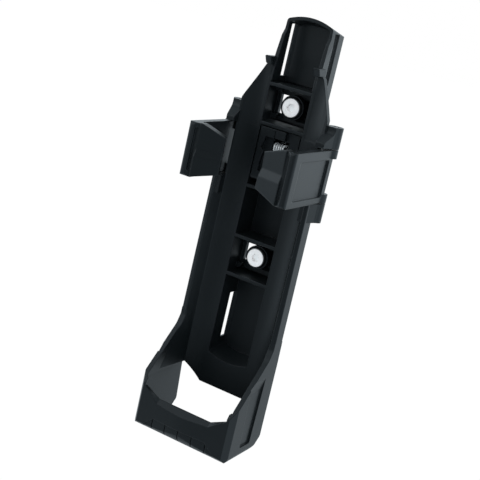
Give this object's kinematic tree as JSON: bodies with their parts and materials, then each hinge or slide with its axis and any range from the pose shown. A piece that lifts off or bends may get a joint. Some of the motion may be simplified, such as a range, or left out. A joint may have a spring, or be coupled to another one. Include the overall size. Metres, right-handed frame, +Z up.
{
  "type": "bicycle folding-lock bracket",
  "caption": "Moulded bracket that bolts to a bicycle frame and holds a folded link lock in a ribbed cradle, cup and two hinged hook flaps.",
  "frame": {"origin": "midway between the two screw axes, on the plane of the cradle's back rails, where the bicycle frame's tube lies", "axes": "+Z up along the bracket towards the tongue, +X to the right of someone facing the bracket, +Y towards the bicycle frame"},
  "size_m": [0.0502, 0.057, 0.1768],
  "materials": {
    "body_plastic": "satin black moulding",
    "flap_plastic": "satin black moulding",
    "pad_plastic": "satin black moulding",
    "pin_steel": "plain",
    "spring_steel": "bright wire",
    "screw_steel": "bright turned"
  },
  "bodies": {
    "cradle": {"cradle": "body_plastic", "left_upper_hinge_pin": "pin_steel", "left_lower_hinge_pin": "pin_steel", "right_upper_hinge_pin": "pin_steel", "right_lower_hinge_pin": "pin_steel", "pad_pivot_pin": "pin_steel", "pad_spring": "spring_steel", "upper_screw": "screw_steel", "lower_screw": "screw_steel"},
    "left_flap": {"left_flap": "flap_plastic"},
    "right_flap": {"right_flap": "flap_plastic"},
    "pressure_pad": {"pressure_pad": "pad_plastic"}
  },
  "joints": [
    {"name": "left_flap_hinge", "type": "hinge", "parent": "cradle", "child": "left_flap", "pos_m": [-0.0221, -0.0144, 0.0105], "axis": [0, 0, -1], "range_deg": [0, 80]},
    {"name": "right_flap_hinge", "type": "hinge", "parent": "cradle", "child": "right_flap", "pos_m": [0.0221, -0.0144, 0.0105], "axis": [0, 0, 1], "range_deg": [0, 80]},
    {"name": "pad_hinge", "type": "hinge", "parent": "cradle", "child": "pressure_pad", "pos_m": [0, -0.0128, 0.0149], "axis": [1, 0, 0], "range_deg": [0, 8], "stiffness_Nm_per_rad": 0.15, "springref_deg": -4.01, "deforming": ["pad_spring"]}
  ]
}
